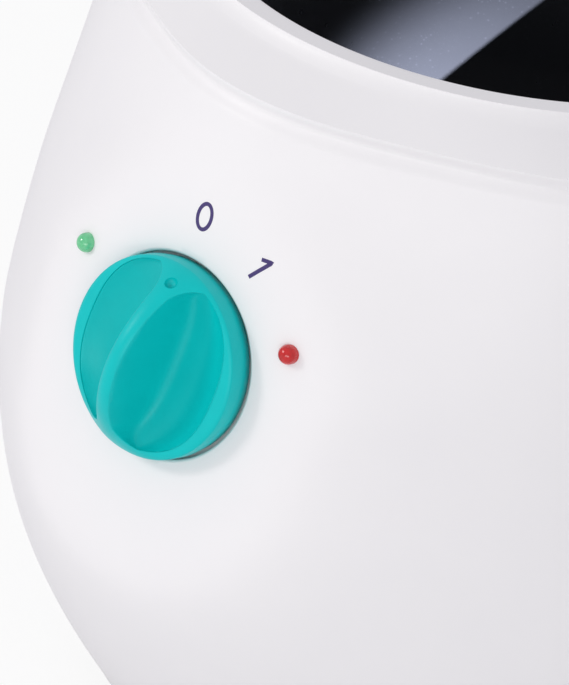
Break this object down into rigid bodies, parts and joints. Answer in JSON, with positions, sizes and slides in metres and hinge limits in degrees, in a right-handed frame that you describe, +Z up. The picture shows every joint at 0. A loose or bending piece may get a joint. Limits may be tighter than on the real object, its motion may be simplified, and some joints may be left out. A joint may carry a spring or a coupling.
{
  "type": "roll on wax heater",
  "caption": "Table-top heater that melts depilatory wax in a round well and warms a roll-on cartridge, with a turn knob switch and lamps on the front.",
  "frame": {"origin": "centre of the outline on the table plane, under the feet", "axes": "+Z up along the well, -Y towards the front face with the knob, +X to the right seen from the front"},
  "size_m": [0.1418, 0.1418, 0.13],
  "materials": {
    "white_gloss": "gloss",
    "base_white": "satin",
    "feet_rubber": "matt",
    "steel": "zinc plated",
    "bowl_coat": "glossy black non-stick coating",
    "silicone": "silicone",
    "mica": "mica sheet",
    "wool": "mineral wool",
    "phenolic": "phenolic",
    "fuse_metal": "plated",
    "switch_black": "moulded",
    "knob_teal": "satin gloss",
    "board_green": "circuit board",
    "lamp_green": "tinted lens",
    "lamp_red": "tinted lens",
    "pin_metal": "nickel plated",
    "nylon": "nylon",
    "cradle_black": "moulded satin"
  },
  "bodies": {
    "base": {"housing": "white_gloss", "top_collar": "white_gloss", "base_cover": "base_white", "rubber_feet": "feet_rubber", "base_screws": "steel", "support_posts": "steel", "bracket_plate": "steel", "bracket_screws": "steel", "heating_bowl": "bowl_coat", "bowl_stud": "steel", "well_gasket": "silicone", "heating_element": "mica", "element_clamp": "steel", "insulation_pad": "wool", "insulation_jacket": "wool", "bowl_nut": "steel", "thermostat": "phenolic", "thermostat_screws": "steel", "thermal_fuse": "fuse_metal", "fuse_clip": "steel", "rotary_switch": "switch_black", "control_board": "board_green", "board_screws": "steel", "green_lamp": "lamp_green", "red_lamp": "lamp_red", "mains_inlet": "switch_black", "inlet_pins": "pin_metal", "terminal_block": "nylon", "terminal_screws": "steel", "earth_tag": "steel"},
    "knob": {"knob": "knob_teal", "switch_shaft": "steel"},
    "cradle": {"cartridge_cradle": "cradle_black"}
  },
  "joints": [
    {"name": "knob_turn", "type": "hinge", "parent": "base", "child": "knob", "pos_m": [0, -0.05851, 0.0824], "axis": [0, -0.9869, 0.1616], "range_deg": [-24, 8]},
    {"name": "cradle_lift", "type": "slide", "parent": "base", "child": "cradle", "axis": [0, 0, 1], "range_m": [0, 0.1]}
  ]
}
